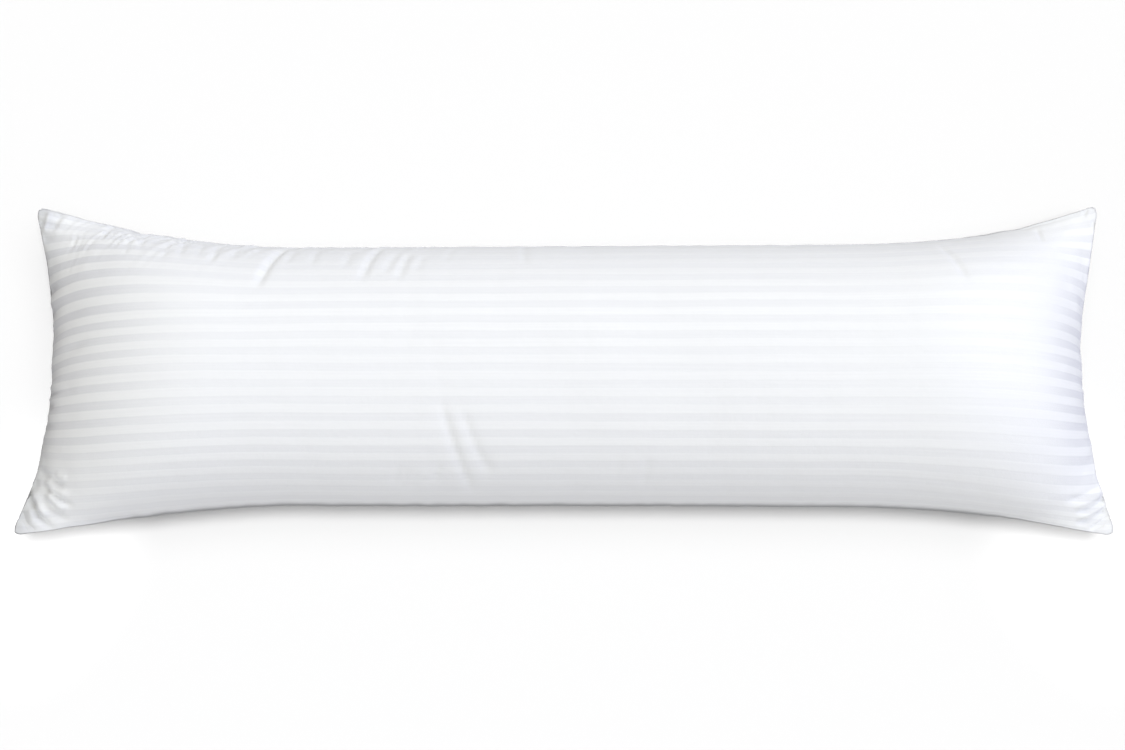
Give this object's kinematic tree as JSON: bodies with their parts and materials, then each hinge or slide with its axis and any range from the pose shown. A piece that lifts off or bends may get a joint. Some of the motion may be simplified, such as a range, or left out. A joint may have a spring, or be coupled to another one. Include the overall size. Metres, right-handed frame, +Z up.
{
  "type": "body pillow",
  "caption": "Long rectangular body pillow: a filled cushion with a rounded crown, drawn-in sides, folded corners and a white cotton cover striped along its length.",
  "frame": {"origin": "on the surface that the pillow lies on, under the middle of its outline", "axes": "+X along the pillow, +Y across it, +Z up out of the face that is seen"},
  "size_m": [1.3395, 0.4121, 0.2046],
  "materials": {
    "striped_cotton": "white woven cotton with satin stripes along the length, softly glossy on the satin"
  },
  "bodies": {
    "root": {"body_pillow": "striped_cotton"}
  },
  "joints": []
}
